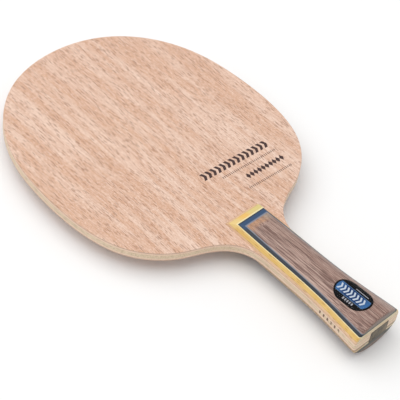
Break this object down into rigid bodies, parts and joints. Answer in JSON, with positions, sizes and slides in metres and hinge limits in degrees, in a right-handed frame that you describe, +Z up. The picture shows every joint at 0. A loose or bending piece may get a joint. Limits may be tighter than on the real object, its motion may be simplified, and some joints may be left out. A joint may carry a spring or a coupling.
{
  "type": "table tennis blade",
  "caption": "Bare wooden table tennis bat: a thin plywood blade with an oval head and a flared, laminated grip with a bevelled front end, a domed badge and a foil label.",
  "frame": {"origin": "under the middle of the bat's length and width, on the surface that it lies on, at the lowest line of the back scale's crown", "axes": "+X across the blade, +Y from the butt to the tip of the head, +Z up out of the front face, the one with the badge"},
  "size_m": [0.152, 0.2584, 0.0248],
  "materials": {
    "face_veneer": "satin, oiled pinkish tan veneer with the grain along the handle",
    "cross_veneer": "cut edge of a cross-grained veneer",
    "core": "cut edge of a pale, light core wood",
    "scale_base": "satin, peach tan wood",
    "scale_gold": "satin, golden yellow dyed wood",
    "scale_stripe": "satin, blue dyed veneer",
    "scale_cap": "satin, oiled dark brown wood with streaks",
    "badge_print": "printed plastic film, black and blue",
    "badge_dome": "clear poured resin, polished",
    "butt_label": "dark bronze metallised foil"
  },
  "bodies": {
    "root": {"face_veneer_front": "face_veneer", "cross_veneer_front": "cross_veneer", "core_ply": "core", "cross_veneer_back": "cross_veneer", "face_veneer_back": "face_veneer", "front_scale_base": "scale_base", "front_scale_gold": "scale_gold", "front_scale_stripe": "scale_stripe", "front_scale_cap": "scale_cap", "back_scale_base": "scale_base", "back_scale_gold": "scale_gold", "back_scale_stripe": "scale_stripe", "back_scale_cap": "scale_cap", "badge_print": "badge_print", "badge_dome": "badge_dome", "butt_label": "butt_label"}
  },
  "joints": []
}
